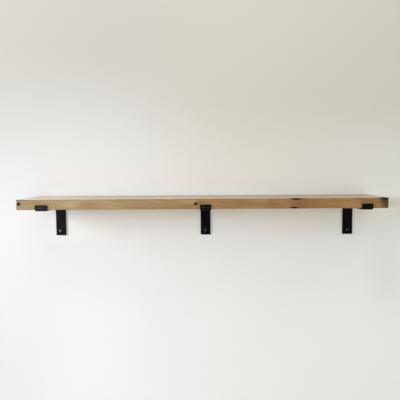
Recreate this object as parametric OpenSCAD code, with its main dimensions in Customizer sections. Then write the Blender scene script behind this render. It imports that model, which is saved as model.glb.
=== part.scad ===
// Bracket wall shelf: a reclaimed board carried by three brackets bent from flat bar,
// with the screws that hold the board down and the screws and plugs that hold the wall.
// +X runs along the wall to the right, +Y goes into the wall and +Z is up.
// The origin is the middle of the board's back edge, on the face of the wall.

/* [Board] */
// Length of the board along the wall
board_l = 1350; // [600:10:2400]
// Depth of the board from the wall to its front edge
board_d = 225; // [180:5:300]
// Thickness of the board
board_t = 38; // [30:1:63]
// Radius of the board's four eased long edges
board_edge_r = 3; // [1:0.5:8]

/* [Brackets] */
// Width of the flat bar
bar_w = 40; // [30:1:60]
// Thickness of the flat bar
bar_t = 5; // [3:0.5:8]
// Inside radius of both bends
bend_r = 3; // [1:0.5:6]
// Radius of the four cut corners at the ends of the bar
bar_corner_r = 1.5; // [0.5:0.5:8]
// Length of the leg down the wall, from the board's underside
leg_l = 125; // [80:5:250]
// Height of the lip above the board's underside
lip_h = 17; // [12:1:30]
// Clearance between the lip and the board's front edge
lip_clear = 0.5; // [0:0.1:3]
// Distance from the board's left end to the middle of the left bracket
inset_left = 90; // [30:1:250]
// Distance from the board's right end to the middle of the right bracket
inset_right = 76; // [30:1:250]
// Distance from the board's middle to the middle of the centre bracket, to the right
centre_shift = 15; // [-100:1:100]

/* [Wall screws] */
// Diameter of the wall screws' shank
wall_screw_d = 5; // [4:0.5:6]
// Length of the wall screws under the head
wall_screw_l = 50; // [40:5:90]
// Length of the wall screws' point
wall_screw_tip_l = 7; // [4:1:12]
// Diameter of the wall screws' pan head
wall_head_d = 10; // [8:0.5:14]
// Height of the wall screws' pan head
wall_head_h = 3.4; // [2.5:0.1:5]
// Clearance around the shank in the leg's hole
wall_hole_clear = 0.4; // [0.1:0.1:1]
// Clearance between the upper wall screws' heads and the bend above them
upper_clear = 3; // [1:0.5:20]
// Distance of the lower wall screws above the end of the leg
lower_rise = 19; // [12:1:40]
// Distance of the left bracket's wall holes off its middle, to the right
hole_shift_left = -4; // [-6:0.5:6]
// Distance of the centre bracket's wall holes off its middle, to the right
hole_shift_centre = -2; // [-6:0.5:6]
// Distance of the right bracket's wall holes off its middle, to the right
hole_shift_right = 0; // [-6:0.5:6]

/* [Wall plugs] */
// Thickness of the plug's wall around the screw
plug_wall = 1.4; // [1:0.1:2.5]
// Length of the wall plugs
plug_l = 40; // [25:5:60]
// Depth of the plug's mouth behind the face of the wall
plug_recess = 3; // [2.5:0.5:8]
// Length of the plug's tapered nose
plug_nose_l = 5; // [2:0.5:8]
// Thickness of the plug's wall at the end of its nose
plug_nose_wall = 0.6; // [0.3:0.1:1]
// Clearance around the screw in the plug
plug_bore_clear = 0.1; // [0.05:0.05:0.4]
// Width of the plug's expansion slots
plug_slot_w = 1; // [0.6:0.1:1.6]
// Length of the plug's expansion slots, from its nose
plug_slot_l = 16; // [8:1:20]

/* [Board screws] */
// Diameter of the board screws' shank
board_screw_d = 4; // [3:0.5:5]
// Length of the board screws under the head
board_screw_l = 30; // [20:5:32]
// Length of the board screws' point
board_screw_tip_l = 6; // [4:1:8]
// Diameter of the board screws' pan head
board_head_d = 8; // [7:0.5:11]
// Height of the board screws' pan head
board_head_h = 2.8; // [2:0.1:4]
// Clearance around the shank in the arm's hole
arm_hole_clear = 0.4; // [0.1:0.1:1]
// Clearance around the board screws in the board
pilot_clear = 0.1; // [0.05:0.05:0.4]
// Depth of the pilot hole past the point of the screw
pilot_extra = 1; // [0.5:0.5:3]
// Distance of the front board screws behind the board's front edge
front_screw_in = 45; // [20:5:80]
// Distance of the rear board screws in front of the wall
rear_screw_out = 55; // [25:5:80]

/* [Screw recess] */
// Width of one bar of the cross recess
recess_w = 1.2; // [0.8:0.1:1.6]
// Length of the cross recess as a share of the head's diameter
recess_span = 0.52; // [0.4:0.01:0.6]
// Depth of the cross recess as a share of the head's height
recess_depth = 0.6; // [0.4:0.05:0.7]
// Height of the head's straight rim as a share of the head's height
rim_share = 0.35; // [0.2:0.05:0.6]
// Diameter of the flat at the very end of a screw's point
point_d = 0.6; // [0.4:0.1:1]

/* [Hidden] */
$fn = 64;
cut = 1;
under_z = -board_t / 2;
bend_out = bend_r + bar_t;
lip_gap = lip_clear + max(0, bend_r - board_edge_r);
lip_y = -(board_d + lip_gap);
leg_end_z = under_z - leg_l;
lip_top_z = under_z + lip_h;
SIDES = ["left", "centre", "right"];
bracket_x = [-board_l / 2 + inset_left, centre_shift, board_l / 2 - inset_right];
wall_hole_x = bracket_x + [hole_shift_left, hole_shift_centre, hole_shift_right];
WALL_ROWS = ["upper", "lower"];
wall_row_z = [under_z - bend_out - upper_clear - wall_head_d / 2, leg_end_z + lower_rise];
BOARD_ROWS = ["front", "rear"];
board_row_y = [-board_d + front_screw_in, -rear_screw_out];
plug_bore_d = wall_screw_d + 2 * plug_bore_clear;
plug_d = plug_bore_d + 2 * plug_wall;
plug_nose_d = plug_bore_d + 2 * plug_nose_wall;

// Outline across the grain, drawn in Y and Z, with eased corners
module board_outline() {
    inner_d = board_d - 2 * board_edge_r;
    inner_t = board_t - 2 * board_edge_r;
    translate([-board_d / 2, 0]) {
        square([board_d, inner_t], center = true);
        square([inner_d, board_t], center = true);
        for (y = [-1, 1], z = [-1, 1])
            translate([y * inner_d / 2, z * inner_t / 2])
                circle(r = board_edge_r);
    }
}

// A shape drawn in Y and Z, run along X about the middle
module along_x(length) {
    rotate([90, 0, 90])
        linear_extrude(height = length, center = true)
            children();
}

module board() {
    pilot_d = board_screw_d + 2 * pilot_clear;
    pilot_l = board_screw_l - bar_t + pilot_extra;
    color("burlywood")
        difference() {
            along_x(board_l) board_outline();
            for (x = bracket_x, y = board_row_y)
                translate([x, y, under_z - cut])
                    cylinder(d = pilot_d, h = pilot_l + cut);
        }
}

// Quarter ring of a bend, drawn in Y and Z, on the side that dir points to
module bend(dir) {
    intersection() {
        difference() {
            circle(r = bend_out);
            circle(r = bend_r);
        }
        translate([dir * bend_out / 2, dir * bend_out / 2])
            square(bend_out, center = true);
    }
}

// Side view of the bent bar: the lip up the front, the arm below the board, the leg down the wall
module bar_outline() {
    arm_front_y = lip_y + bend_r;
    translate([lip_y - bar_t, under_z + bend_r])
        square([bar_t, lip_h - bend_r]);
    translate([arm_front_y, under_z + bend_r])
        bend(-1);
    translate([arm_front_y, under_z - bar_t])
        square([-bend_out - arm_front_y, bar_t]);
    translate([-bend_out, under_z - bend_out])
        bend(1);
    translate([-bar_t, leg_end_z])
        square([bar_t, leg_l - bend_out]);
}

// What rounding the bar's two corners takes away, at an end whose outward side is dir in Z
module corner_waste(y, z, dir) {
    for (x = [-1, 1])
        translate([x * (bar_w / 2 - bar_corner_r), y, z - dir * bar_corner_r])
            rotate([90, 0, 0])
                linear_extrude(height = bar_t + 2 * cut, center = true)
                    difference() {
                        translate([x * bar_corner_r, dir * bar_corner_r])
                            square(2 * bar_corner_r, center = true);
                        circle(r = bar_corner_r);
                    }
}

module bracket(i) {
    leg_hole_d = wall_screw_d + 2 * wall_hole_clear;
    arm_hole_d = board_screw_d + 2 * arm_hole_clear;
    color("dimgray")
        difference() {
            translate([bracket_x[i], 0, 0])
                difference() {
                    along_x(bar_w) bar_outline();
                    corner_waste(lip_y - bar_t / 2, lip_top_z, 1);
                    corner_waste(-bar_t / 2, leg_end_z, -1);
                }
            for (z = wall_row_z)
                translate([wall_hole_x[i], -bar_t / 2, z])
                    rotate([90, 0, 0])
                        cylinder(d = leg_hole_d, h = bar_t + 2 * cut, center = true);
            for (y = board_row_y)
                translate([bracket_x[i], y, under_z - bar_t / 2])
                    cylinder(d = arm_hole_d, h = bar_t + 2 * cut, center = true);
        }
}

// Pan head with its flat face at z = 0 and its dome below, cut with a cross recess
module pan_head(head_d, head_h) {
    drop = head_h * (1 - rim_share);
    dome_r = (pow(head_d / 2, 2) + pow(drop, 2)) / (2 * drop);
    difference() {
        intersection() {
            translate([0, 0, -head_h])
                cylinder(d = head_d, h = head_h);
            translate([0, 0, dome_r - head_h])
                sphere(r = dome_r);
        }
        translate([0, 0, -head_h])
            for (turn = [0, 90])
                rotate([0, 0, turn])
                    cube([recess_span * head_d, recess_w, 2 * recess_depth * head_h], center = true);
    }
}

// Screw that points up, with the underside of its head at z = 0
module pan_screw(d, l, tip_l, head_d, head_h) {
    pan_head(head_d, head_h);
    cylinder(d = d, h = l - tip_l);
    translate([0, 0, l - tip_l])
        cylinder(d1 = d, d2 = point_d, h = tip_l);
}

module wall_screw(i, row) {
    color("silver")
        translate([wall_hole_x[i], -bar_t, wall_row_z[row]])
            rotate([-90, 0, 0])
                pan_screw(wall_screw_d, wall_screw_l, wall_screw_tip_l, wall_head_d, wall_head_h);
}

module wall_plug(i, row) {
    color("darkgray")
        translate([wall_hole_x[i], plug_recess, wall_row_z[row]])
            rotate([-90, 0, 0])
                difference() {
                    union() {
                        cylinder(d = plug_d, h = plug_l - plug_nose_l);
                        translate([0, 0, plug_l - plug_nose_l])
                            cylinder(d1 = plug_d, d2 = plug_nose_d, h = plug_nose_l);
                    }
                    translate([0, 0, -cut])
                        cylinder(d = plug_bore_d, h = plug_l + 2 * cut);
                    translate([0, 0, plug_l])
                        cube([plug_d + 2 * cut, plug_slot_w, 2 * plug_slot_l], center = true);
                }
}

module board_screw(i, row) {
    color("silver")
        translate([bracket_x[i], board_row_y[row], under_z - bar_t])
            pan_screw(board_screw_d, board_screw_l, board_screw_tip_l, board_head_d, board_head_h);
}

board();
for (i = [0 : len(SIDES) - 1]) {
    bracket(i);
    for (row = [0 : len(WALL_ROWS) - 1]) {
        place = str(SIDES[i], "_", WALL_ROWS[row]);
        wall_screw(i, row);
        wall_plug(i, row);
    }
    for (row = [0 : len(BOARD_ROWS) - 1]) {
        place = str(SIDES[i], "_", BOARD_ROWS[row]);
        board_screw(i, row);
    }
}
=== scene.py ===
"""Bracket wall shelf: the looks of a reclaimed board on three black flat-bar brackets.

Everything is in metres in the CAD frame: +X along the wall, +Y into the wall, +Z up, and the
origin at the middle of the board's back edge.
"""

import math
from collections import namedtuple

import bmesh
import bpy
import numpy as np
from mathutils import Matrix, Vector


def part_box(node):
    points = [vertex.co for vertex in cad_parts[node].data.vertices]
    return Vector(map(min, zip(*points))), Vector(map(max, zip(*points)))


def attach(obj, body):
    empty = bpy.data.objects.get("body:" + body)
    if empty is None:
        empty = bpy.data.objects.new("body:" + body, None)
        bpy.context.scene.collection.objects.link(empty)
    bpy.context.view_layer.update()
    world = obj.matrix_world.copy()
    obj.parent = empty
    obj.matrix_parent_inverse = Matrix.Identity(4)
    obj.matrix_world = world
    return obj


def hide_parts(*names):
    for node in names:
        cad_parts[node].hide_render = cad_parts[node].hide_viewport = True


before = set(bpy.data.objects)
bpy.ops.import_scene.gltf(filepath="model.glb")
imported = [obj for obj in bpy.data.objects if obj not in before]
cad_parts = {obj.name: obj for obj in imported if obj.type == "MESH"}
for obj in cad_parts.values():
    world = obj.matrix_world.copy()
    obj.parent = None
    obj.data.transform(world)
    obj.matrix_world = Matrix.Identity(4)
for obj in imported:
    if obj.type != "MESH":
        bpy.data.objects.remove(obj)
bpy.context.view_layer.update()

MM = 0.001
SIDES = ("left", "centre", "right")
WALL_ROWS = ("upper", "lower")
BOARD_ROWS = ("front", "rear")
INTO_WALL = Vector((0, 1, 0))
UP = Vector((0, 0, 1))


def node_box(node):
    """The low corner, the high corner and the middle of a CAD node."""
    low, high = (Vector(corner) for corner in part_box(node))
    return low, high, (low + high) / 2


def srgb(red, green, blue):
    """A colour given as 0 to 255 in sRGB, as a linear colour."""
    def linear(value):
        share = value / 255
        return share / 12.92 if share <= 0.04045 else ((share + 0.055) / 1.055) ** 2.4
    return (linear(red), linear(green), linear(blue), 1.0)


# Camera, fitted to the photograph's edges
IMAGE_SIDE = 400
FOCAL_PIXELS = 441.6
SENSOR = 36.0
CAMERA_AT = Vector((0.0134, -1.8205, 0.1215))
CAMERA_YAW = math.radians(-0.661)
CAMERA_PITCH = math.radians(-3.848)
CAMERA_ROLL = math.radians(-0.370)

# Board
BOARD_LOW, BOARD_HIGH, BOARD_MIDDLE = node_box("board")
LEFT_X, RIGHT_X = BOARD_LOW.x, BOARD_HIGH.x
UNDER_Z, TOP_Z = BOARD_LOW.z, BOARD_HIGH.z
FRONT_Y = BOARD_LOW.y
ARRIS, ARRIS_WAVE = 3.0 * MM, 0.45 * MM
WAVE_LENGTH, WAVE_SEED = 35.0 * MM, 40
ARRIS_STEPS, FACE_PARTS, EDGE_PARTS = 6, 44, 12
END_EASE = 1.2 * MM
STATION_STEP = 5.0 * MM
HOLLOW = 0.14 * MM

# Dents in the back top, front top, front low and back low arris: place along X, half width and extra
# radius, in mm
DENTS = (((-420, 9, 1.0), (90, 7, 1.3), (530, 12, 1.1)),
         ((-652, 10, 1.2), (-391, 6, 1.0), (-118, 5, 1.4), (214, 7, 1.1), (349, 22, 1.6), (585, 9, 1.0),
          (620, 60, -1.0)),
         ((-520, 6, 1.2), (-246, 12, 0.9), (336, 12, 1.5), (502, 6, 1.2)),
         ((-310, 8, 1.2), (260, 10, 1.4)))

# Drying cracks: end of the board, Y of the mouth, height, depth along the grain, width and seed
CHECKS = ((RIGHT_X, -0.141, 0.025, 0.062, 0.0010, 7), (RIGHT_X, -0.058, 0.013, 0.030, 0.0007, 8),
          (LEFT_X, -0.118, 0.019, 0.048, 0.0009, 9))
CHECK_STEPS, CHECK_TIP, CUT_PAST = 10, 0.02 * MM, 1.0 * MM

# Brackets: the bar, the inside radius of its bends, its ends' corners, its edges and its holes
BRACKET_LOW, BRACKET_HIGH, _ = node_box("bracket_centre")
BAR_T = 5.0 * MM
BEND_R, BEND_SPREAD, BEND_STEPS = 3.0 * MM, 0.45 * MM, 10
BAR_CORNER, BAR_EDGE = 1.5 * MM, 0.5 * MM
LEG_HOLE_R, ARM_HOLE_R, BURR = 2.9 * MM, 2.4 * MM, 0.3 * MM
SHEEN_AT, SHEEN_REACH = 10.5 * MM, 3.2 * MM

# Screws: diameter, length below the head, length of the point, head's diameter and height, pitch
Screw = namedtuple("Screw", "d length tip head_d head_h pitch")
WALL_SCREW = Screw(0.005, 0.050, 0.007, 0.010, 0.0034, 0.0022)
BOARD_SCREW = Screw(0.004, 0.030, 0.006, 0.008, 0.0028, 0.0018)
SCREW_TURNS, DOME_STEPS, THREAD_STEPS = 28, 9, 8
NECK, RUN_OUT, THREAD_HALF = 2.2 * MM, 0.5 * MM, 0.28
FIRST_SPIN, WALL_SPIN, BOARD_SPIN = 0.35, 0.9, 0.7

# Wall plugs
BORE_R, COLLAR, NOSE = 2.6 * MM, 6.0 * MM, 5.0 * MM
TOOTH_DEEP, TOOTH_LONG, TOOTH_EASE = 0.5 * MM, 3.0 * MM, 0.15 * MM
PLUG_SPLIT = Vector((1.0, 32.0, 12.0)) * MM

# Stage
WALL_Y = 0.6 * MM
FLOOR_Z = -1.35
STAGE_HALF, WALL_TOP, FLOOR_FRONT, FLOOR_REAR = 3.2, 2.4, -5.0, 3.0
OPENING_INSET = 1.4 * MM
WALL_LEFT = srgb(236, 236, 240)
WALL_MIDDLE = srgb(248, 250, 252)
WALL_RIGHT = srgb(244, 246, 244)
WALL_LEFT_TOP = srgb(199, 197, 191)
WALL_RIGHT_TOP = srgb(207, 205, 195)
WALL_WARMED = srgb(250, 250, 233)
WALL_BRIGHT = srgb(254, 254, 253)
WALL_COOL = srgb(239, 249, 252)
WALL_SHADED = srgb(206, 203, 190)
NEAR_WINDOW = srgb(202, 200, 196)

# Lamps: name, place, aim, size, watts and colour
LAMPS = (("window", (-3.4, -2.05, 0.75), (0.0, 0.0, 0.0), (1.5, 1.5), 88.0, (1.0, 1.0, 1.0)),
         ("front_fill", (1.3, -3.4, -0.1), (0.0, 0.0, 0.0), (2.6, 1.8), 16.0, (1.0, 0.995, 0.98)),
         ("overhead", (0.0, -0.9, 2.1), (0.0, -0.1, 0.0), (2.4, 1.4), 17.0, (1.0, 0.99, 0.97)),
         ("rear_fill", (-0.6, 2.4, 0.7), (0.0, 0.0, 0.0), (1.6, 1.6), 30.0, (1.0, 1.0, 1.0)))
WORLD_COLOUR, WORLD_STRENGTH = srgb(250, 250, 250), 0.5

# Wood. The pith of the tree runs along the board a little way under it, from these values at X = 0.
PITH_Y, PITH_Z = -0.105, -0.118
PITH_RISE_Y, PITH_RISE_Z = 0.012, -0.008
# Where the pith sinks, so that the grain on the front runs down to the right: from X, to X, depth
PITH_DROPS = ((-0.37, -0.05, 40.0 * MM), (0.03, 0.31, 38.0 * MM))
RING = 3.6 * MM
SLOW_REACH, FINE_REACH = 30.0 * MM, 2.4 * MM
EARLY_LEFT = srgb(188, 168, 130)
EARLY_RIGHT = srgb(170, 126, 74)
LATE_LEFT = srgb(154, 130, 93)
LATE_RIGHT = srgb(126, 83, 42)
OLIVE = srgb(148, 124, 78)
# Painted light and sheen on the top, whiter towards the left end where a painted reflection of the window
# lies
PAINTED_TOP_LIGHT = srgb(240, 222, 161)
PAINTED_TOP_LIGHT_LEFT = srgb(244, 234, 214)
KNOT_COLOUR = srgb(106, 66, 38)
EDGE_KNOT_COLOUR = srgb(143, 97, 58)
BARK_COLOUR = srgb(36, 20, 5)
STAIN_COLOUR = srgb(52, 34, 24)

# How often the wood's patterns repeat along X, Y and Z, in waves a metre
SLOW_WAVE = (1.7, 7.0, 7.0)
FINE_WAVE = (7.0, 60.0, 60.0)
RING_STRENGTH = (2.4, 26.0, 26.0)
FIBRE = (14.0, 900.0, 900.0)
STREAK = (3.0, 120.0, 120.0)
PATCH = (5.2, 15.0, 15.0)
PORE = (40.0, 1500.0, 1500.0)
BLOTCH = (12.0, 55.0, 55.0)
TINT = (8.0, 30.0, 30.0)
CLOUD = (22.0, 240.0, 240.0)
END_SOAK = (16.0, 260.0, 260.0)
SOIL = (30.0, 160.0, 160.0)
# The same for the patterns that go by the distance from the pith: outwards, nothing, along X
UNEVEN = 95.0
SEASON = (120.0, 1.0, 1.5)


def on_front(along, z):
    """A point on the board's front edge, by its distance from the left end and its height."""
    return Vector((LEFT_X + along, FRONT_Y, z))


# Old nail holes in the front edge: their mouths, radius and depth
NAIL_END = on_front(9.5 * MM, UNDER_Z + 21.6 * MM)
NAIL_MIDDLE = on_front(654.3 * MM, UNDER_Z + 19.6 * MM)
NAIL_R, NAIL_DEPTH = 4.1 * MM, 16.0 * MM

# The two bark pockets at the edge knot's rim
BARK_TOP = on_front(1018.0 * MM, TOP_Z - 1.7 * MM)
BARK_TOP_SIZE = Vector((12.5, 9.0, 3.6)) * MM
BARK_TOP_SHIFT = Vector((0.0, -1.0, 1.5)) * MM
BARK_LOW = on_front(1011.0 * MM, UNDER_Z + 3.0 * MM)
BARK_LOW_SIZE = Vector((10.0, 6.0, 2.8)) * MM

# Knots: where each comes through a face, radius, how dark it is, colour, edge and how dark its rim is
Knot = namedtuple("Knot", "point radius dark colour edge rim")
KNOTS = [Knot(on_front(1026.0 * MM, -1.0 * MM), 20.0 * MM, 0.85, EDGE_KNOT_COLOUR, (1.5, 0.6), 0.08)]
KNOTS += [Knot(Vector((x, y, TOP_Z)), radius * MM, dark, KNOT_COLOUR, (1.12, 0.94), 0.62)
          for x, y, radius, dark in ((-0.205, -0.062, 11.0, 0.75), (0.455, -0.148, 8.0, 0.7),
                                     (0.032, -0.028, 15.0, 0.8), (0.590, -0.019, 12.0, 0.85))]

# Where the right end's weathering is darkest, on its front edge and at its top corner
RIGHT_STAIN = Vector((RIGHT_X, FRONT_Y, 10.0 * MM))
RIGHT_CORNER = Vector((RIGHT_X - 12.0 * MM, FRONT_Y, TOP_Z))


def front_mark(along, up, half_size, colour, share):
    """A soft stain on the front edge, or a patch of painted shade, by mm from the left end and above the
    middle, and half size in mm.
    """
    return on_front(along * MM, up * MM), Vector(half_size) * MM, srgb(*colour), share


STAINS_AND_SHADE = (
    front_mark(260, -6, (32, 14, 9), (172, 132, 86), 0.64),
    # Painted shade at the two sides of the left lip: its contact shadow, and to its right the shadow it
    # casts on the board
    front_mark(69, -12, (4, 5, 10), (46, 40, 34), 0.90),
    front_mark(112, -11, (8, 5, 12), (46, 40, 34), 0.90),
    front_mark(1036, 16, (22, 6, 6), (84, 54, 30), 0.85),
    front_mark(4, 4, (26, 16, 24), (140, 118, 92), 0.60),
    front_mark(22, 16, (26, 5, 4), (96, 84, 66), 0.60),
    front_mark(333, -3, (60, 40, 16), (184, 154, 120), 0.45),
    front_mark(632, 7, (42, 20, 12), (188, 158, 114), 0.55),
    front_mark(935, 2, (36, 24, 18), (130, 102, 62), 0.75),
    front_mark(1002, -6, (26, 24, 16), (140, 100, 64), 0.45),
    front_mark(1065, 0, (62, 30, 24), (142, 94, 58), 0.65),
    front_mark(1218, 0, (46, 20, 26), (174, 136, 92), 0.50),
    front_mark(820, 4, (100, 24, 20), (142, 110, 70), 0.55),
    front_mark(198, 3, (56, 24, 20), (204, 178, 134), 0.50),
    front_mark(1209, 9, (9, 6, 2.6), (112, 78, 40), 0.85),
    front_mark(1290, TOP_Z / MM, (75, 8, 5), (150, 112, 74), 0.60),
    front_mark(666, 6, (16, 10, 5), (120, 84, 48), 0.50),
)


def per(size):
    """One over each part of a size."""
    return tuple(1.0 / part for part in size)


def lifted(colour, by):
    """A linear colour made lighter or darker."""
    return tuple(min(1.0, part * by) for part in colour[:3]) + (1.0,)


def pith_at(x):
    z = PITH_Z + PITH_RISE_Z * x
    for start, end, depth in PITH_DROPS:
        share = min(1.0, max(0.0, (x - start) / (end - start)))
        z -= depth * share * share * (3 - 2 * share)
    return Vector((x, PITH_Y + PITH_RISE_Y * x, z))


class Graph:
    """A material's node tree. Most methods add a node and give its output."""

    def __init__(self, name):
        self.material = bpy.data.materials.new(name)
        self.material.use_nodes = True
        self.tree = self.material.node_tree
        self.tree.nodes.clear()
        self.place = self.add("TexCoord")["Object"]
        self.x, self.y, self.z = self.add("SeparateXYZ", self.place)
        self.colour = None

    def put(self, socket, value):
        if isinstance(value, bpy.types.NodeSocket):
            self.tree.links.new(value, socket)
        elif value is not None:
            socket.default_value = value

    def add(self, kind, *values, **named):
        """Adds a node and gives its outputs. values go to its inputs in order. A name that starts with a
        capital is that of an input, and any other is that of a setting."""
        made = self.tree.nodes.new("ShaderNode" + kind)
        for name, value in named.items():
            if name[0].isupper():
                self.put(made.inputs[name.replace("_", " ")], value)
            else:
                setattr(made, name, value)
        for socket, value in zip(made.inputs, values):
            self.put(socket, value)
        return made.outputs

    def attribute(self, name):
        return self.add("Attribute", attribute_name=name)["Fac"]

    def math(self, operation, *values):
        return self.add("Math", *values, operation=operation)[0]

    def times(self, product, *others):
        for value in others:
            product = self.math("MULTIPLY", product, value)
        return product

    def plus(self, a, b):
        return self.math("ADD", a, b)

    def scaled(self, value, by, onto):
        """value times by, and onto added."""
        return self.math("MULTIPLY_ADD", value, by, onto)

    def vector(self, operation, a, b=None, scale=None):
        found = self.add("VectorMath", a, b, None, scale, operation=operation)
        return found["Value" if operation in ("DOT_PRODUCT", "LENGTH") else "Vector"]

    def length(self, vector, weights):
        """The length of a vector, with each of its parts weighted."""
        return self.vector("LENGTH", self.vector("MULTIPLY", vector, weights))

    def distance(self, point, weights):
        """How far the place is from a point, with each direction weighted."""
        return self.length(self.vector("SUBTRACT", self.place, tuple(point)), weights)

    def noise(self, scale, detail=2.0, roughness=0.5, vector=None, output="Fac"):
        """Noise by the place, or by another vector. scale is one number, or one for each direction."""
        vector = self.place if vector is None else vector
        if isinstance(scale, tuple):
            vector, scale = self.vector("MULTIPLY", vector, scale), 1.0
        made = self.add("TexNoise", Vector=vector, Scale=scale, Detail=detail, Roughness=roughness)
        return made[output]

    def smooth(self, value, low, high, to_low=0.0, to_high=1.0):
        """value carried smoothly from low..high to to_low..to_high, and held outside."""
        return self.add("MapRange", value, low, high, to_low, to_high, interpolation_type="SMOOTHSTEP")[0]

    def mix(self, share, a, b):
        """Two colours mixed. The node's sockets for numbers and vectors come before those for colours."""
        return self.add("Mix", share, *[None] * 5, a, b, data_type="RGBA")[2]

    def paint(self, share, colour):
        """Lays a colour over what is painted already."""
        self.colour = self.mix(share, self.colour, colour)

    def wash(self, value, low, high, share, colour):
        """Paints a colour from nothing where value is at low to its share where value is at high."""
        self.paint(self.smooth(value, low, high, 0.0, share), colour)

    def bump(self, height, distance, strength):
        return self.add("Bump", Height=height, Distance=distance, Strength=strength)[0]

    def surface(self, **inputs):
        """A shader with the painted colour, and with other inputs by their names."""
        return self.add("BsdfPrincipled", self.colour, **inputs)[0]

    def finish(self, shader):
        self.add("OutputMaterial", shader)
        return self.material


class Wood(Graph):
    """The board's material. Its growth rings are cylinders about the pith of the tree, so faces, edges
    and end grain all cut the same rings."""

    def __init__(self):
        super().__init__("reclaimed_board_wood")
        self.facing = self.add("SeparateXYZ", self.add("NewGeometry")["Normal"])
        self.radius = self.pith_distance()
        self.knots = self.knot_fields()
        self.late = self.late_wood()
        self.fibre = self.noise(FIBRE, 3.0, 0.6)
        self.streak = self.noise(STREAK)
        self.patch = self.noise(PATCH)
        redder = self.smooth(self.scaled(self.patch, 0.55, self.x), -0.35, 0.75)
        self.early_colour = self.mix(redder, EARLY_LEFT, EARLY_RIGHT)
        self.late_colour = self.mix(redder, LATE_LEFT, LATE_RIGHT)
        self.bare = 0.0

    def pith_distance(self):
        """Distance from the pith, with slow waves along the board and finer ones that keep the rings from
        being true circles."""
        half = (0.5, 0.5, 0.5)
        slow = self.vector("SUBTRACT", self.noise(SLOW_WAVE, 1.0, output="Color"), half)
        fine = self.vector("SUBTRACT", self.noise(FINE_WAVE, output="Color"), half)
        slow, fine = self.add("SeparateXYZ", slow), self.add("SeparateXYZ", fine)
        off = []
        for k, place, rise, start in ((1, self.y, PITH_RISE_Y, PITH_Y), (2, self.z, PITH_RISE_Z, PITH_Z)):
            wave = self.scaled(slow[k], SLOW_REACH, self.times(fine[k], FINE_REACH))
            off.append(self.math("SUBTRACT", self.plus(place, wave), self.scaled(self.x, rise, start)))
        for start, end, depth in PITH_DROPS:
            off[1] = self.plus(off[1], self.smooth(self.x, start, end, 0.0, depth))
        return self.vector("LENGTH", self.add("CombineXYZ", 0.0, *off)[0])

    def knot_fields(self):
        """For each knot, how far out of it the place is, in knot radii, and the rays inside it. The grain
        swells round the knots."""
        found = []
        lumps = self.noise(90.0)
        for knot in KNOTS:
            axis = tuple((knot.point - pith_at(knot.point.x)).normalized())
            away = self.vector("SUBTRACT", self.place, tuple(knot.point))
            along = self.vector("SCALE", axis, scale=self.vector("DOT_PRODUCT", away, axis))
            beside = self.vector("SUBTRACT", away, along)
            ragged = self.scaled(lumps, knot.radius * 0.34, -knot.radius * 0.17)
            far = self.plus(self.length(beside, (0.68, 1.0, 1.0)), ragged)
            rays = self.noise(3.0, vector=self.vector("NORMALIZE", beside))
            spread = self.math("DIVIDE", self.length(beside, (0.42, 1.0, 1.0)), knot.radius * 1.9)
            swell = self.math("EXPONENT", self.times(spread, spread, -1.0))
            self.radius = self.scaled(swell, knot.radius * 0.9, self.radius)
            found.append((knot, self.math("DIVIDE", far, knot.radius), rays))
        return found

    def late_wood(self):
        """How much of each ring's dark late wood there is: it rises slowly outwards and stops sharply."""
        uneven = self.noise(UNEVEN, 1.0, vector=self.add("CombineXYZ", self.radius)[0])
        phase = self.math("FRACT", self.scaled(uneven, 2.2, self.math("DIVIDE", self.radius, RING)))
        strength = self.smooth(self.noise(RING_STRENGTH), 0.25, 0.75, 0.35, 1.0)
        return self.times(self.smooth(phase, 0.30, 0.93), self.smooth(phase, 1.0, 0.95), strength)

    def paint_grain(self):
        """Rings, seasons, fibres, streaks, blotches and pores: paler to the left, redder to the right."""
        early, late = self.early_colour, self.late_colour
        season = self.noise(SEASON, vector=self.add("CombineXYZ", self.radius, 0.0, self.x)[0])
        blotch = self.noise(BLOTCH, 3.0)
        self.colour = early
        self.paint(self.times(self.late, 0.8), late)
        for pattern, low, high, share, colour in (
                (self.streak, 0.35, 0.75, 0.42, late),
                (season, 0.46, 0.66, 0.55, late), (season, 0.44, 0.30, 0.45, early),
                (blotch, 0.50, 0.72, 0.50, late), (blotch, 0.46, 0.28, 0.40, early),
                (self.noise(TINT), 0.48, 0.70, 0.35, OLIVE),
                (self.fibre, 0.42, 0.78, 0.35, late), (self.fibre, 0.50, 0.22, 0.25, early),
                (self.noise(PORE, 1.0), 0.60, 0.70, 0.45, LATE_RIGHT),
                (self.patch, 0.45, 0.80, 0.35, late)):
            self.wash(pattern, low, high, share, colour)

    def paint_top_light(self):
        """Painted light and sheen make the top paler, most of all along its front and towards the left. By
        the wall it is darker.
        """
        upward = self.smooth(self.facing[2], 0.5, 0.95)
        light_share = self.smooth(self.scaled(self.patch, 0.06, self.y), -0.06, -0.20, 0.20, 0.50)
        light_share = self.plus(light_share, self.smooth(self.x, -0.30, -0.62, 0.0, 0.25))
        pale = self.mix(self.smooth(self.x, -0.30, -0.62), PAINTED_TOP_LIGHT, PAINTED_TOP_LIGHT_LEFT)
        self.paint(self.times(upward, light_share), pale)
        self.paint(self.times(upward, self.late, 0.5), self.late_colour)
        dulled = self.smooth(self.scaled(self.streak, 0.04, self.y), -0.055, -0.015, 0.0, 0.35)
        self.paint(self.times(upward, dulled), LATE_RIGHT)

    def paint_stains_and_shade(self):
        """Soft stains, and painted shade by the left lip, with the grain showing through them."""
        cloudy = self.noise(CLOUD, 3.0)
        grain = self.scaled(self.late, 0.5, self.smooth(self.fibre, 0.38, 0.74, 0.0, 0.40))
        grain = self.plus(grain, self.smooth(self.streak, 0.35, 0.75, 0.0, 0.35))
        for centre, size, colour, share in STAINS_AND_SHADE:
            far = self.scaled(cloudy, 0.9, self.distance(centre, per(size)))
            toned = self.mix(grain, lifted(colour, 1.14), lifted(colour, 0.74))
            self.wash(far, 1.55, 0.65, share, toned)

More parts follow.
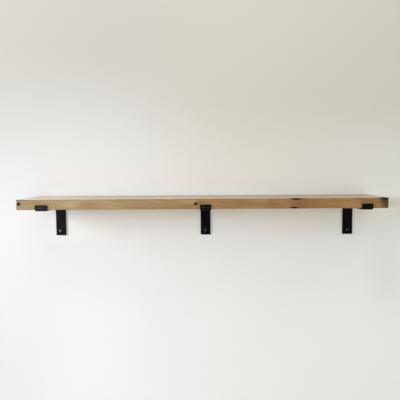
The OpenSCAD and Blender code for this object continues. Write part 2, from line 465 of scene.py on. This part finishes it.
    def paint_knots(self):
        """Knots with fine rings of their own, a darker heart, splits and a rim."""
        for knot, far, rays in self.knots:
            ring = self.smooth(self.math("FRACT", self.times(far, 6.0)), 0.1, 0.95, 0.0, 0.42)
            ring = self.times(ring, self.smooth(far, 1.0, 0.7))
            inner = self.mix(ring, knot.colour, self.mix(0.5, knot.colour, STAIN_COLOUR))
            inner = self.mix(self.smooth(far, 0.35, 0.0, 0.0, 0.25), inner, STAIN_COLOUR)
            split = self.times(self.smooth(rays, 0.60, 0.66), self.smooth(far, 0.85, 0.6))
            inner = self.mix(self.times(split, 0.6), inner, BARK_COLOUR)
            self.wash(far, *knot.edge, knot.dark, inner)
            rim = self.times(self.smooth(far, 0.7, 0.98), self.smooth(far, 1.16, 1.0))
            self.paint(self.times(rim, knot.rim), STAIN_COLOUR)

    def blacken(self, share):
        """The matt black of bark and iron marks, which takes no wax."""
        self.bare = self.math("MAXIMUM", self.bare, share)
        self.paint(share, BARK_COLOUR)

    def paint_holes(self):
        """Iron marks round the nail holes, and black bark in the pockets."""
        for hole in (NAIL_END, NAIL_MIDDLE):
            far = self.scaled(self.noise(160.0), 1.6 * MM, self.distance(hole, (0.85, 0.25, 1.0)))
            self.wash(far, NAIL_R * 2.0, NAIL_R * 1.2, 0.55, STAIN_COLOUR)
            self.blacken(self.smooth(far, NAIL_R * 1.42, NAIL_R * 1.26))
        for pocket, size in ((BARK_TOP, BARK_TOP_SIZE), (BARK_LOW, BARK_LOW_SIZE)):
            far = self.scaled(self.noise(170.0), 0.7, self.distance(pocket, per(size)))
            self.wash(far, 2.5, 1.5, 0.6, self.mix(0.5, KNOT_COLOUR, STAIN_COLOUR))
            self.blacken(self.smooth(far, 1.75, 1.5))

    def weather_end(self):
        """The weathered right end, darkest at its top corner."""
        soaked = self.noise(END_SOAK, 3.0)
        far = self.scaled(soaked, 34.0 * MM, self.distance(RIGHT_STAIN, (1.0, 0.45, 0.85)))
        self.wash(far, 55.0 * MM, 35.0 * MM, 0.80, STAIN_COLOUR)
        far = self.scaled(soaked, 8.0 * MM, self.distance(RIGHT_CORNER, (0.5, 0.5, 1.0)))
        self.blacken(self.smooth(far, 17.0 * MM, 9.0 * MM, 0.0, 0.97))

    def darken_edges(self):
        """End grain drinks more oil, the wood is darker towards the top and bottom of the board, and dirt
        sits in the arrises' dents.
        """
        end_share = self.smooth(self.math("ABSOLUTE", self.facing[0]), 0.6, 0.9)
        self.paint(self.times(end_share, 0.45), self.mix(0.5, self.late_colour, STAIN_COLOUR))
        self.wash(self.math("ABSOLUTE", self.z), 9.0 * MM, 18.0 * MM, 0.16, LATE_RIGHT)
        worn = self.times(self.attribute("wear"), self.scaled(end_share, -0.75, 1.0))
        soiled = self.smooth(self.noise(SOIL, 4.0, 0.65), 0.50, 0.70, 0.0, 0.38)
        self.paint(self.times(worn, soiled), STAIN_COLOUR)

    def waxed(self):
        """A thin coat of wax, with the late wood and the fibres standing up a little under it."""
        rough = self.smooth(self.late, 0.0, 1.0, 0.52, 0.44)
        rough = self.plus(rough, self.smooth(self.fibre, 0.3, 0.7, -0.03, 0.05))
        rough = self.scaled(self.bare, 0.45, rough)
        height = self.scaled(self.late, 0.6, self.times(self.fibre, 0.5))
        return self.surface(Roughness=rough, Normal=self.bump(height, 0.16 * MM, 0.55),
                            Specular_IOR_Level=0.15, Coat_Weight=self.smooth(self.bare, 0.0, 0.6, 0.5, 0.0),
                            Coat_IOR=1.3, Coat_Roughness=0.16)


def wood():
    g = Wood()
    g.paint_grain()
    g.paint_top_light()
    g.paint_stains_and_shade()
    g.paint_knots()
    g.paint_holes()
    g.weather_end()
    g.darken_edges()
    return g.finish(g.waxed())


def steel():
    """Hot-rolled bar, blacked and waxed: near-black scale with greyer clouds and rubbed barer on its edges,
    with painted light towards the left, painted shade to the right and a painted highlight round the lip's
    bend."""
    g = Graph("black_waxed_steel")
    cloud = g.noise(38.0, 4.0, 0.62)
    scale = g.noise(150.0, 4.0, 0.7)
    left = g.smooth(g.x, -0.50, -0.15, 1.0, 0.0)
    g.colour = g.mix(g.smooth(cloud, 0.35, 0.6), srgb(2, 2, 3), srgb(10, 10, 11))
    g.wash(cloud, 0.50, 0.68, 0.85, srgb(38, 38, 39))
    g.wash(scale, 0.52, 0.68, 0.5, srgb(26, 26, 26))
    g.wash(g.noise(900.0), 0.62, 0.75, 0.3, srgb(40, 36, 32))
    # Painted light: lighter towards the left, where the window's light falls
    g.paint(g.times(left, 0.50), srgb(37, 38, 39))
    # Painted shade: blackest to the right
    g.wash(g.x, 0.15, 0.50, 0.8, srgb(3, 3, 3))
    rubbed = g.smooth(g.noise((260.0, 170.0, 170.0), 5.0, 0.7), 0.47, 0.70)
    g.paint(g.times(g.attribute("wear"), rubbed, 0.5), srgb(66, 65, 66))
    # A painted highlight round the outside of the lip's bend, brighter towards the left
    sheen = g.scaled(left, 0.65, g.smooth(g.x, 0.15, 0.50, 0.25, 0.03))
    g.paint(g.times(g.attribute("stretch"), g.smooth(scale, 0.25, 0.6), sheen), srgb(71, 70, 72))
    rough = g.plus(g.smooth(cloud, 0.3, 0.75, 0.40, 0.56), g.smooth(scale, 0.4, 0.7, -0.05, 0.06))
    height = g.scaled(scale, 0.7, g.times(g.noise((900.0, 60.0, 60.0)), 0.25))
    return g.finish(g.surface(Roughness=rough, Normal=g.bump(height, 0.10 * MM, 0.6),
                              Specular_IOR_Level=0.05))


def zinc():
    """Zinc-plated screw steel, with turning marks and a dull bloom, and painted shade away from the left.
    """
    g = Graph("zinc_screw")
    bloom = g.noise(420.0, 3.0, 0.6)
    scratch = g.noise((2600.0, 500.0, 900.0))
    g.colour = g.mix(g.smooth(bloom, 0.35, 0.7), srgb(128, 128, 128), srgb(152, 152, 150))
    # Painted shade: darker away from the left, where less light falls on the screws
    g.wash(g.x, -0.52, -0.20, 0.8, srgb(62, 62, 62))
    g.wash(scratch, 0.6, 0.8, 0.4, srgb(60, 59, 57))
    return g.finish(g.surface(Roughness=g.smooth(bloom, 0.3, 0.7, 0.18, 0.34), Metallic=1.0,
                              Normal=g.bump(scratch, 0.03 * MM, 0.5)))


def nylon():
    """Moulded grey nylon with a fine spark finish."""
    g = Graph("grey_nylon_plug")
    flow = g.noise((90.0, 25.0, 90.0))
    grit = g.noise(2600.0)
    g.colour = g.mix(g.smooth(flow, 0.35, 0.7), srgb(122, 125, 130), srgb(142, 144, 148))
    return g.finish(g.surface(Roughness=g.smooth(grit, 0.3, 0.7, 0.46, 0.58),
                              Normal=g.bump(grit, 0.02 * MM, 0.5)))


def one_sided(g, roughness):
    """Finishes a stage material that only shows, shades and blocks light from its front."""
    behind = g.add("NewGeometry")["Backfacing"]
    clear = g.add("BsdfTransparent")[0]
    return g.finish(g.add("MixShader", behind, g.surface(Roughness=roughness), clear)[0])


def plaster():
    """The wall's paint, with soft steps of tone as daylight from the left gives them."""
    g = Graph("plaster_wall")

    def level(low, rise, fall, high, across, colour):
        """Paints between two heights, with a share that goes by the place along the wall."""
        g.paint(g.times(g.smooth(g.z, low, rise), g.smooth(g.z, high, fall), across), colour)

    left = g.mix(g.smooth(g.x, -0.95, -0.35), WALL_LEFT, WALL_MIDDLE)
    left = g.mix(g.smooth(g.z, -0.18, 0.66), left, WALL_LEFT_TOP)
    right = g.mix(g.smooth(g.z, -0.16, 0.46), WALL_RIGHT, WALL_RIGHT_TOP)
    g.colour = g.mix(g.smooth(g.x, -0.45, 0.25), left, right)
    close = g.times(g.smooth(g.x, -0.68, -0.60), g.smooth(g.x, 0.55, 0.0))
    # Painted light round the board: warm bounce just under it, brighter lower down, and cooler above it
    level(-0.15, -0.03, -0.01, 0.01, g.smooth(g.x, -0.55, -0.25, 0.0, 0.7), WALL_WARMED)
    level(-0.19, -0.14, -0.09, -0.05, g.times(close, 0.8), WALL_BRIGHT)
    level(0.0, 0.02, 0.035, 0.07, g.times(close, 0.7), WALL_COOL)
    # The soft shadow to the right of the board, and the sharper one inside it
    level(-0.60, -0.20, 0.03, 0.25, g.smooth(g.x, 0.62, 0.78, 0.0, 0.30), WALL_SHADED)
    level(-0.045, -0.02, 0.0, 0.012, g.smooth(g.x, 0.64, 0.74, 0.0, 0.50), WALL_SHADED)
    # Painted shade: darker towards the window on the left
    g.wash(g.x, -0.95, -1.9, 0.9, NEAR_WINDOW)
    g.wash(g.noise(2.2), 0.3, 0.7, 0.06, WALL_RIGHT_TOP)
    return one_sided(g, 0.9)


def pale_floor():
    g = Graph("pale_floor")
    g.colour = g.mix(g.noise(1.5), srgb(232, 230, 226), srgb(224, 221, 215))
    # Painted shade: darker towards the window on the left
    g.wash(g.x, -0.2, -1.7, 0.95, NEAR_WINDOW)
    return one_sided(g, 0.8)


def linked(name, data):
    """An object in the scene."""
    made = bpy.data.objects.new(name, data)
    bpy.context.scene.collection.objects.link(made)
    return made


def from_form(name, form):
    """An object from a bmesh, which is freed."""
    mesh = bpy.data.meshes.new(name)
    form.to_mesh(mesh)
    form.free()
    return linked(name, mesh)


def mesh_object(name, points, faces, **marks):
    """An object from points and faces. Each mark is one number a point, which a material can read."""
    mesh = bpy.data.meshes.new(name)
    mesh.from_pydata([tuple(point) for point in points], [], [tuple(face) for face in faces])
    for mark, values in marks.items():
        layer = mesh.attributes.new(mark, "FLOAT", "POINT")
        layer.data.foreach_set("value", np.asarray(values, dtype=np.float32))
    mesh.validate()
    return linked(name, mesh)


def outward(piece):
    """Turns every face outwards."""
    form = bmesh.new()
    form.from_mesh(piece.data)
    bmesh.ops.recalc_face_normals(form, faces=form.faces)
    form.to_mesh(piece.data)
    form.free()
    return piece


def discard(piece):
    """Takes an object and its mesh out of the file."""
    spent = piece.data
    bpy.data.objects.remove(piece)
    bpy.data.meshes.remove(spent)


def cut(piece, cutters):
    """Takes closed cutters that lie apart away from piece, and removes them."""
    form = bmesh.new()
    for cutter in cutters:
        form.from_mesh(cutter.data)
        discard(cutter)
    joined = from_form("cutters", form)
    made = piece.modifiers.new("cut", "BOOLEAN")
    made.operation = "DIFFERENCE"
    made.solver = "EXACT"
    made.object = joined
    bpy.context.view_layer.update()
    shaped = bpy.data.meshes.new_from_object(piece.evaluated_get(bpy.context.evaluated_depsgraph_get()))
    shaped.name = piece.name
    piece.modifiers.clear()
    old, piece.data = piece.data, shaped
    bpy.data.meshes.remove(old)
    discard(joined)


def dress(piece, material, node, smooth_angle):
    """Shades the piece, gives it its material and puts it in its node's place."""
    piece.data.materials.clear()
    piece.data.materials.append(material)
    piece.data.shade_smooth()
    piece.data.set_sharp_from_angle(angle=math.radians(smooth_angle))
    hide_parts(node)
    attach(piece, "root")


def bands(count, size):
    """Faces that join count rings of size points each, in order."""
    return [(i * size + j, i * size + (j + 1) % size, (i + 1) * size + (j + 1) % size, (i + 1) * size + j)
            for i in range(count - 1) for j in range(size)]


def capped(count, size):
    """The same with a flat face over the first ring and the last."""
    last = (count - 1) * size
    return bands(count, size) + [tuple(range(size - 1, -1, -1)), tuple(range(last, last + size))]


def poled(count, size):
    """The same with a pole over the first ring and the last. The poles follow the rings' points."""
    ends = ((0, count * size), ((count - 1) * size, count * size + 1))
    return bands(count, size) + [(ring + j, ring + (j + 1) % size, pole) for ring, pole in ends
                                 for j in range(size)]


def lathe(name, profile, turns, axis, at, hollow=False):
    """A round solid about an axis, from (radius, height) pairs. The pairs start and end on the axis, or
    for a hollow solid they go once round its wall."""
    walls = profile if hollow else profile[1:-1]
    points = []
    for radius, height in walls:
        for j in range(turns):
            angle = 2 * math.pi * j / turns
            points.append(Vector((radius * math.cos(angle), radius * math.sin(angle), height)))
    if hollow:
        last = (len(walls) - 1) * turns
        faces = bands(len(walls), turns)
        faces += [(last + j, last + (j + 1) % turns, (j + 1) % turns, j) for j in range(turns)]
    else:
        faces = poled(len(walls), turns)
        points += [Vector((0, 0, profile[0][1])), Vector((0, 0, profile[-1][1]))]
    spin = axis.to_track_quat("Z", "Y").to_matrix()
    return outward(mesh_object(name, [at + spin @ point for point in points], faces))


def eased_outline(half, radii, steps, parts):
    """Points round a section with an arc at each corner, as (point, share): share goes from 0 to 1 along
    an arc and is None between arcs. half has the half width at each corner and the half height, and
    parts says into how many the flats across and the flats down are divided."""
    found = []
    half_widths, half_height = half
    quadrants = ((1, 1), (-1, 1), (-1, -1), (1, -1))
    centres = [Vector((across * (width - radius), up * (half_height - radius)))
               for (across, up), width, radius in zip(quadrants, half_widths, radii)]
    for k, (centre, radius) in enumerate(zip(centres, radii)):
        for step in range(steps + 1):
            angle = math.radians(90 * (k + step / steps))
            ray = Vector((math.cos(angle), math.sin(angle)))
            found.append((centre + radius * ray, step / steps))
        start = centre + radius * ray
        end = centres[(k + 1) % 4] + radii[(k + 1) % 4] * ray
        count = parts[k % 2]
        found += [(start.lerp(end, step / count), None) for step in range(1, count)]
    return found


def wave(values, seed, length):
    """Smooth seeded waves over values, from -1 to 1. length is the shortest of them."""
    random = np.random.default_rng(seed)
    total = np.zeros_like(values, dtype=float)
    for step in range(5):
        turns = values * (2 * math.pi / (length * (1.0 + 1.7 * step)))
        total += np.sin(turns + random.uniform(0, 2 * math.pi)) * (0.5 + 0.5 * step)
    return total / np.abs(total).max()


def dents(stations, places):
    """How much wider an arris is at each station, from its dents."""
    total = np.zeros_like(stations)
    for place, half, depth in places:
        total += depth * MM * np.exp(-((stations - place * MM) / (half * MM)) ** 2)
    return total


def board_stations():
    """Places along the board, each with how far its eased ends draw the outline in."""
    ease = [(along * END_EASE, inset * END_EASE)
            for along, inset in ((0.0, 1.0), (0.12, 0.55), (0.42, 0.18), (1.0, 0.0))]
    clear = 2 * END_EASE
    inner = np.linspace(LEFT_X + clear, RIGHT_X - clear, int((RIGHT_X - LEFT_X) / STATION_STEP))
    stations = [(LEFT_X + along, inset) for along, inset in ease] + [(x, 0.0) for x in inner]
    return stations + [(RIGHT_X - along, inset) for along, inset in reversed(ease)]


def board_blank():
    """The board with its eased and dented arrises, before holes and cracks."""
    stations = board_stations()
    xs = np.array([x for x, inset in stations])
    radii = []
    for k, places in enumerate(DENTS):
        radii.append(ARRIS + ARRIS_WAVE * wave(xs, WAVE_SEED + k, WAVE_LENGTH) + dents(xs, places))
    half_y, half_z = (BOARD_HIGH - BOARD_LOW).yz / 2
    points, wear = [], []
    for i, (x, inset) in enumerate(stations):
        outline = eased_outline(([half_y] * 4, half_z), [float(radius[i]) for radius in radii],
                                ARRIS_STEPS, (FACE_PARTS, EDGE_PARTS))
        shrink_y, shrink_z = 1 - inset / half_y, 1 - inset / half_z
        for off, share in outline:
            points.append((x, BOARD_MIDDLE.y + off.x * shrink_y, off.y * shrink_z))
            wear.append(1.0 if inset > 0 else math.sin(math.pi * (share or 0.0)))
    blank = mesh_object("board_plank", points, capped(len(stations), len(outline)), wear=wear)
    sand(blank)
    return outward(blank)


def sand(piece):
    """Sands very shallow hollows into the board's faces, never outwards."""
    near = 0.1 * MM
    for vertex in piece.data.vertices:
        x, y, z = vertex.co
        hollow = HOLLOW * (1 + math.sin(23.0 * x + 31.0 * y) * math.sin(17.0 * x - 9.0)) / 2
        if abs(abs(z) - TOP_Z) < near:
            vertex.co.z -= math.copysign(hollow, z)
        elif abs(y - FRONT_Y) < near:
            vertex.co.y += hollow


def bark_cutter(centre, size, seed):
    """A rough rounded hollow for a bark pocket."""
    form = bmesh.new()
    bmesh.ops.create_icosphere(form, subdivisions=4, radius=1.0)
    phases = np.random.default_rng(seed).uniform(0, 2 * math.pi, 3)
    for vertex in form.verts:
        x, y, z = vertex.co
        lumps = 0.14 * math.sin(7 * x + phases[0]) * math.sin(9 * z + phases[1])
        lumps += 0.08 * math.sin(17 * x + phases[2])
        vertex.co = Vector((x * size.x, y * size.y, z * size.z)) * (1 + lumps) + centre
    return from_form("bark", form)


def nail_cutter(at, seed):
    """An old nail hole in the front edge, a little ragged and flared at its mouth."""
    shares = ((0.0, NAIL_DEPTH), (0.55, NAIL_DEPTH), (0.86, NAIL_DEPTH * 0.8), (0.92, 1.5 * MM),
              (1.0, 0.4 * MM), (1.12, -0.6 * MM), (1.14, -3.0 * MM), (0.0, -3.0 * MM))
    profile = [(NAIL_R * share, height) for share, height in shares]
    cutter = lathe("nail", profile, 28, INTO_WALL, at)
    phases = np.random.default_rng(seed).uniform(0, 2 * math.pi, 2)
    for vertex in cutter.data.vertices:
        off = vertex.co - at
        angle = math.atan2(off.z, off.x)
        rough = 1 + 0.07 * math.sin(3 * angle + phases[0]) + 0.05 * math.sin(5 * angle + phases[1])
        vertex.co = at + Vector((off.x * rough * 1.08, off.y, off.z * rough))
    return cutter


def check_cutter(end_x, mouth_y, tall, deep, wide, seed):
    """A drying crack: it opens at an end of the board and at its top, runs in along the grain, and points
    at the pith."""
    inward = -1 if end_x > 0 else 1
    random = np.random.default_rng(seed)
    mouth = Vector((mouth_y, TOP_Z))
    line = (pith_at(end_x).yz - mouth).normalized()
    aside = Vector((-line.y, line.x))
    points = []
    for step in range(CHECK_STEPS):
        share = step / (CHECK_STEPS - 1)
        x = end_x + inward * ((deep + CUT_PAST) * share - CUT_PAST)
        half = wide / 2 * (1 - share) ** 0.8 + CHECK_TIP
        reach = tall * (1 - share) ** 0.5 + 0.3 * MM
        drift = [float(off) * MM for off in random.uniform(-0.3, 0.3, 3)]
        rows = ((-CUT_PAST, half, drift[0]), (reach * 0.5, half * 0.6, drift[1] + 0.3 * MM),
                (reach, CHECK_TIP, drift[2]))
        for side in (1, -1):
            for along, width, off in rows[::side]:
                spot = mouth + along * line + (off + side * width) * aside
                points.append((x, spot.x, spot.y))
    return outward(mesh_object("check", points, capped(CHECK_STEPS, 2 * len(rows))))


def make_board(material):
    board = board_blank()
    cutters = [nail_cutter(NAIL_END, 3), nail_cutter(NAIL_MIDDLE, 4),
               bark_cutter(BARK_TOP + BARK_TOP_SHIFT, BARK_TOP_SIZE, 5),
               bark_cutter(BARK_LOW, BARK_LOW_SIZE, 6)]
    cut(board, cutters + [check_cutter(*check) for check in CHECKS])
    dress(board, material, "board", 40.0)


def bar_path():
    """The bar's middle line in Y and Z from lip to leg, as (point, normal, bend). The normal is on the
    lip's front, the arm's underside and the leg's front. bend is above zero where that side is the
    outside of a bend, and below zero where it is the inside."""
    lip_y = BRACKET_LOW.y + BAR_T
    mid = BAR_T / 2
    bend_out = BEND_R + BAR_T
    path = []

    def straight(start, end, normal, step, ends=()):
        length = (end - start).length
        even = np.linspace(0, length, max(2, int(length / step) + 1))
        for mark in sorted({round(float(mark), 7) for mark in (*even, *ends)}):
            path.append((start.lerp(end, mark / length), normal, 0))

    def turn(centre, start, sweep, side):
        for i in range(1, BEND_STEPS):
            angle = math.radians(start + sweep * i / BEND_STEPS)
            ray = Vector((math.cos(angle), math.sin(angle)))
            bend = side * math.sin(math.pi * i / BEND_STEPS)
            path.append((centre + (BEND_R + mid) * ray, ray * side, bend))

    corner = [share * BAR_CORNER for share in (0.1, 0.3, 0.6, 1.0)]
    front = Vector((lip_y + BEND_R, UNDER_Z + BEND_R))
    rear = Vector((-bend_out, UNDER_Z - bend_out))
    straight(Vector((lip_y - mid, BRACKET_HIGH.z)), Vector((lip_y - mid, front.y)),
             Vector((-1, 0)), 3 * MM, corner)
    turn(front, 180, 90, 1)
    straight(Vector((front.x, UNDER_Z - mid)), Vector((rear.x, UNDER_Z - mid)), Vector((0, -1)), 4 * MM)
    turn(rear, 90, -90, -1)
    leg_start, leg_end = Vector((-mid, rear.y)), Vector((-mid, BRACKET_LOW.z))
    length = (leg_start - leg_end).length
    straight(leg_start, leg_end, Vector((-1, 0)), 4 * MM, [length - c for c in corner])
    return path


def bar_section(half_width, bend):
    """The bar's outline across it and through it. A bend narrows its outside and widens its inside."""
    widths = [half_width - side * BEND_SPREAD * bend for side in (1, 1, -1, -1)]
    return eased_outline((widths, BAR_T / 2), [BAR_EDGE] * 4, 3, (8, 1))


def bar_blank(side):
    """The bent bar with its eased edges, before it is drilled. Its points carry a mark for the painted
    highlight round the outside of the lip's bend."""
    low, high, middle = node_box("bracket_" + side)
    half = (high.x - low.x) / 2
    path = bar_path()
    travelled = [0.0]
    for before, after in zip(path, path[1:]):
        travelled.append(travelled[-1] + (after[0] - before[0]).length)
    points, wear, stretch = [], [], []
    for (at, normal, bend), run in zip(path, travelled):
        from_end = min(run, travelled[-1] - run)
        left = max(0.0, BAR_CORNER - from_end)
        section = bar_section(half - BAR_CORNER + math.sqrt(BAR_CORNER ** 2 - left ** 2), bend)
        sheen = math.exp(-((run - SHEEN_AT) / SHEEN_REACH) ** 2)
        for off, share in section:
            points.append((middle.x + off.x, at.x + normal.x * off.y, at.y + normal.y * off.y))
            wear.append(0.0 if share is None and from_end >= 0.3 * MM else 1.0)
            stretch.append(sheen * (1 - abs(off.x / half) ** 6) if off.y > 0 else 0.0)
    faces = capped(len(path), len(section))
    return outward(mesh_object("bar_" + side, points, faces, wear=wear, stretch=stretch))


def hole_cutter(at, axis, radius):
    """A drilled hole with its burr taken off on both faces."""
    half, past = BAR_T / 2, 1.5 * MM
    wide = radius + BURR + past
    profile = [(0.0, -half - past), (wide, -half - past), (radius, -half + BURR),
               (radius, half - BURR), (wide, half + past), (0.0, half + past)]
    return lathe("hole", profile, 40, axis, at)


def make_bracket(side, material):
    bar = bar_blank(side)
    cutters = []
    for row in WALL_ROWS:
        screw = node_box(f"wall_screw_{side}_{row}")[2]
        cutters.append(hole_cutter(Vector((screw.x, -BAR_T / 2, screw.z)), INTO_WALL, LEG_HOLE_R))
    for row in BOARD_ROWS:
        screw = node_box(f"board_screw_{side}_{row}")[2]
        cutters.append(hole_cutter(Vector((screw.x, screw.y, UNDER_Z - BAR_T / 2)), UP, ARM_HOLE_R))
    cut(bar, cutters)
    dress(bar, material, "bracket_" + side, 30.0)


def screw_rings(size):
    """Rings of a pan-head screw that points to +Z with the underside of its head at zero, from the top of
    its head to its point, as (height, radius, how far the thread stands out)."""
    head_r, shank_r, core = size.head_d / 2, 0.49 * size.d, 0.33 * size.d
    rim = 0.35 * size.head_h
    drop = size.head_h - rim
    dome = (head_r ** 2 + drop ** 2) / (2 * drop)
    made = []
    for step in range(1, DOME_STEPS + 1):
        radius = head_r * math.sin(math.pi / 2 * step / DOME_STEPS)
        made.append((-size.head_h + dome - math.sqrt(dome ** 2 - radius ** 2), radius, 0.0))
    made += [(-rim * 0.5, head_r, 0.0), (-0.25 * MM, head_r, 0.0), (0.0, head_r - 0.2 * MM, 0.0),
             (0.0, shank_r, 0.0), (NECK, shank_r, 0.0), (NECK + RUN_OUT, core, 0.0)]
    z = NECK + RUN_OUT + size.pitch / THREAD_STEPS
    while z < size.length - 0.4 * MM:
        pointed = max(0.0, (z - (size.length - size.tip)) / size.tip)
        rise = (size.d / 2 - core) * min(1.0, (z - NECK) / (2 * size.pitch)) * (1 - 0.75 * pointed)
        made.append((z, core * (1 - pointed) + 0.12 * MM * pointed, rise))
        z += size.pitch / THREAD_STEPS
    return made


def recess_cutter(size):
    """A tapered cross for the driver, at the top of a head that points down."""
    half, reach = 0.06 * size.head_d, 0.26 * size.head_d
    levels = ((-size.head_h - 0.5 * MM, 1.12), (-0.85 * size.head_h, 1.0), (-0.42 * size.head_h, 0.55))
    points = []
    for height, scale in levels:
        arm = [(half, half), (reach * scale, half), (reach * scale, -half)]
        for quarter in range(4):
            points += [(u, v, height) for u, v in arm]
            arm = [(v, -u) for u, v in arm]
    return outward(mesh_object("recess", points, capped(len(levels), 12)))


def make_screw(kind, side, row, axis, size, spin, material):
    """A pan-head screw with a real thread and a cross recess, in its CAD screw's place."""
    made = screw_rings(size)
    points = []
    for height, base, rise in made:
        for j in range(SCREW_TURNS):
            share = j / SCREW_TURNS
            phase = (height / size.pitch - share) % 1.0
            radius = base + rise * max(0.0, 1 - abs(phase - 0.5) / THREAD_HALF)
            angle = 2 * math.pi * share
            points.append((radius * math.cos(angle), radius * math.sin(angle), height))
    points += [(0, 0, -size.head_h), (0, 0, size.length)]
    faces = poled(len(made), SCREW_TURNS)
    screw = outward(mesh_object(f"screw_{kind}_{side}_{row}", points, faces))
    cut(screw, [recess_cutter(size)])
    node = f"{kind}_screw_{side}_{row}"
    low, _, middle = node_box(node)
    at = middle + axis * ((low - middle).dot(axis) + size.head_h)
    turn = axis.to_track_quat("Z", "Y").to_matrix() @ Matrix.Rotation(spin, 3, "Z")
    screw.data.transform(Matrix.Translation(at) @ turn.to_4x4())
    dress(screw, material, node, 35.0)


def split_cutter(at):
    """A flat box about a point, for the split in a plug."""
    form = bmesh.new()
    bmesh.ops.create_cube(form, size=1.0)
    for vertex in form.verts:
        vertex.co = at + Vector([part * size for part, size in zip(vertex.co, PLUG_SPLIT)])
    return from_form("split", form)


def make_plug(side, row, material):
    """A moulded plug with saw teeth along its grip, a split and a tapered nose."""
    node = f"wall_plug_{side}_{row}"
    low, high, middle = node_box(node)
    at = Vector((middle.x, low.y, middle.z))
    outer, length = (high.x - low.x) / 2, high.y - low.y
    profile = [(outer - 0.25 * MM, 0.0), (outer, 0.25 * MM), (outer, COLLAR)]
    y = COLLAR
    while y + TOOTH_LONG < length - NOSE:
        profile += [(outer - TOOTH_DEEP, y + TOOTH_EASE), (outer, y + TOOTH_LONG - TOOTH_EASE)]
        y += TOOTH_LONG
    profile += [(outer - 0.1 * MM, length - NOSE), (BORE_R + 0.75 * MM, length - 0.3 * MM),
                (BORE_R + 0.55 * MM, length), (BORE_R, length), (BORE_R, length / 2),
                (BORE_R, 0.4 * MM), (BORE_R + 0.3 * MM, 0.0)]
    plug = lathe(f"plug_{side}_{row}", profile, 36, INTO_WALL, at, hollow=True)
    cut(plug, [split_cutter(at + length * INTO_WALL)])
    dress(plug, material, node, 30.0)


def stage_sheet(name, spot, across, along, openings, material):
    """A flat stage surface. spot(u, v) places a point, across and along give its extent in u and v, and
    openings, as (u low, u high, v low, v high), stay empty."""
    us = sorted(set(across) | {u for opening in openings for u in opening[:2]})
    vs = sorted(set(along) | {v for opening in openings for v in opening[2:]})
    points = [spot(u, v) for u in us for v in vs]
    faces = []
    for i in range(len(us) - 1):
        for j in range(len(vs) - 1):
            u, v = (us[i] + us[i + 1]) / 2, (vs[j] + vs[j + 1]) / 2
            if not any(low < u < high and below < v < above for low, high, below, above in openings):
                corner = i * len(vs) + j
                faces.append((corner, corner + len(vs), corner + len(vs) + 1, corner + 1))
    sheet = mesh_object(name, points, faces)
    sheet.data.materials.append(material)


def make_stage():
    """A plain wall and a pale floor. The wall is open behind the board and the legs, where the shelf
    itself hides it, so that light from behind reaches their backs."""
    def opening(low_x, high_x, low_z, high_z):
        return low_x + OPENING_INSET, high_x - OPENING_INSET, low_z + OPENING_INSET, high_z - OPENING_INSET

    openings = [opening(LEFT_X, RIGHT_X, UNDER_Z, TOP_Z)]
    for side in SIDES:
        low, high, _ = node_box("bracket_" + side)
        openings.append(opening(low.x, high.x, low.z, UNDER_Z - BAR_T - BEND_R))
    across = (-STAGE_HALF, STAGE_HALF)
    stage_sheet("stage_wall", lambda u, v: (u, WALL_Y, v), across, (FLOOR_Z, WALL_TOP), openings, plaster())
    stage_sheet("stage_floor", lambda u, v: (u, v, FLOOR_Z), across, (FLOOR_FRONT, FLOOR_REAR), [],
                pale_floor())


def make_light():
    world = bpy.data.worlds.new("studio")
    bpy.context.scene.world = world
    world.use_nodes = True
    shade = world.node_tree.nodes["Background"]
    shade.inputs["Color"].default_value = WORLD_COLOUR
    shade.inputs["Strength"].default_value = WORLD_STRENGTH
    for name, at, aim, size, watts, colour in LAMPS:
        lamp = bpy.data.lights.new(name, "AREA")
        lamp.shape = "RECTANGLE"
        lamp.size, lamp.size_y = size
        lamp.energy = watts
        lamp.color = colour
        aimed = (Vector(aim) - Vector(at)).to_track_quat("-Z", "Y").to_matrix().to_4x4()
        linked(name, lamp).matrix_world = Matrix.Translation(at) @ aimed


def make_camera():
    """The camera fitted to the photograph. A quarter turn about X levels it."""
    data = bpy.data.cameras.new("photo_camera")
    data.sensor_width = SENSOR
    data.lens = FOCAL_PIXELS / IMAGE_SIDE * SENSOR
    camera = linked("photo_camera", data)
    placed = Matrix.Translation(CAMERA_AT)
    for axis, turn in (("Z", -CAMERA_YAW), ("X", math.pi / 2 + CAMERA_PITCH), ("Z", CAMERA_ROLL)):
        placed = placed @ Matrix.Rotation(turn, 4, axis)
    camera.matrix_world = placed
    bpy.context.scene.camera = camera


def make_all():
    wood_look, steel_look, zinc_look, nylon_look = wood(), steel(), zinc(), nylon()
    make_board(wood_look)
    spin = FIRST_SPIN
    for side in SIDES:
        make_bracket(side, steel_look)
        for row in WALL_ROWS:
            make_screw("wall", side, row, INTO_WALL, WALL_SCREW, spin, zinc_look)
            make_plug(side, row, nylon_look)
            spin += WALL_SPIN
        for row in BOARD_ROWS:
            make_screw("board", side, row, UP, BOARD_SCREW, spin, zinc_look)
            spin += BOARD_SPIN
    make_stage()
    make_light()
    make_camera()
    bpy.context.scene.view_settings.view_transform = "Standard"


make_all()
